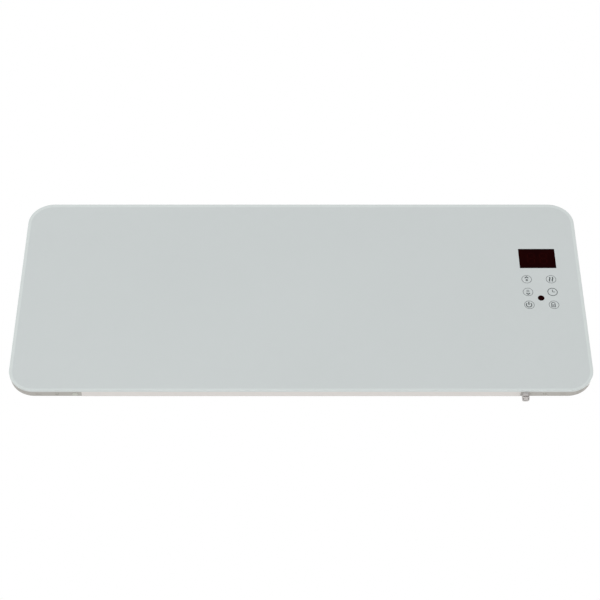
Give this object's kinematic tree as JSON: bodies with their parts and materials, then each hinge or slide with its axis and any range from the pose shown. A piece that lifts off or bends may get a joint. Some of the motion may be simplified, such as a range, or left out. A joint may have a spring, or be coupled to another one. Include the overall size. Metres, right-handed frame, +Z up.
{
  "type": "wall panel convector heater",
  "caption": "Wide flat glass-fronted convector heater that hangs on a steel wall bracket, with a display and touch keys at its right end and a probe below.",
  "frame": {"origin": "centre of the four wall screw holes, in the plane of the wall", "axes": "+X to the viewer's right, +Z up, and the glass faces -Y, away from the wall"},
  "size_m": [1, 0.085, 0.4309],
  "materials": {
    "painted_glass": "gloss, painted on the back, opaque",
    "pale_paint": "satin powder coat",
    "cap_plastic": "fine moulded grain",
    "cover_paint": "fine textured powder coat",
    "bracket_steel": "galvanised",
    "sheet_steel": "plain zinc-plated sheet",
    "screw_steel": "zinc plated",
    "element_aluminium": "extruded, mill finish",
    "foil": "bright",
    "insulation": "pressed mineral fibre",
    "tape": "closed-cell foam tape",
    "black_rubber": "matt",
    "silicone": "matt",
    "ceramic": "glazed",
    "grille_plastic": "moulded, matt",
    "switch_plastic": "polished black",
    "white_plastic": "moulded",
    "blue_plastic": "moulded",
    "circuit": "solder resist",
    "dark_window": "dark red film",
    "wire": "silicone sleeve",
    "probe_plastic": "fine moulded grain",
    "brass": "plain"
  },
  "bodies": {
    "wall_bracket": {"left_wall_bracket": "bracket_steel", "right_wall_bracket": "bracket_steel", "bracket_tie_bar": "bracket_steel"},
    "heater": {"glass_front": "painted_glass", "glass_bond_strips": "tape", "front_tray": "pale_paint", "left_end_cap": "cap_plastic", "right_end_cap": "cap_plastic", "end_cap_screws": "screw_steel", "blanking_plug": "probe_plastic", "sensor_probe_shell": "probe_plastic", "sensor_probe_clip": "screw_steel", "thermistor": "brass", "insulation_board": "insulation", "heat_reflector": "foil", "heating_element": "element_aluminium", "element_core": "sheet_steel", "element_terminals": "ceramic", "element_holders": "sheet_steel", "element_bushes": "silicone", "holder_screws": "screw_steel", "thermal_cutout": "ceramic", "thermal_fuse": "brass", "control_partition": "sheet_steel", "rear_cover": "cover_paint", "rear_cover_screws": "screw_steel", "outlet_grille": "grille_plastic", "wall_spacers": "black_rubber", "power_board": "circuit", "board_standoffs": "white_plastic", "power_board_screws": "screw_steel", "relay": "blue_plastic", "transformer": "switch_plastic", "filter_capacitor": "white_plastic", "terminal_block": "white_plastic", "touch_board": "circuit", "touch_board_screws": "screw_steel", "touch_pads": "black_rubber", "led_display": "switch_plastic", "display_filter": "dark_window", "ir_receiver": "switch_plastic", "ir_filter": "dark_window", "board_header": "switch_plastic", "switch_body": "switch_plastic", "switch_terminals": "brass", "cord_gland": "grille_plastic", "gland_cap": "grille_plastic", "gland_locknut": "grille_plastic", "earth_stud": "brass", "earth_nut": "screw_steel", "lead_grommets": "black_rubber", "lead_sockets": "white_plastic", "switch_leads": "wire", "element_lead_right": "wire", "element_lead_left": "wire", "probe_lead": "black_rubber", "lead_clips": "white_plastic"},
    "rocker": {"switch_rocker": "switch_plastic"}
  },
  "joints": [
    {"name": "heater_lift", "type": "slide", "parent": "wall_bracket", "child": "heater", "axis": [0, 0, 1], "range_m": [0, 0.014]},
    {"name": "main_switch", "type": "hinge", "parent": "heater", "child": "rocker", "pos_m": [0.4295, -0.04, 0.095], "axis": [0, -1, 0], "range_deg": [0, 20]}
  ]
}
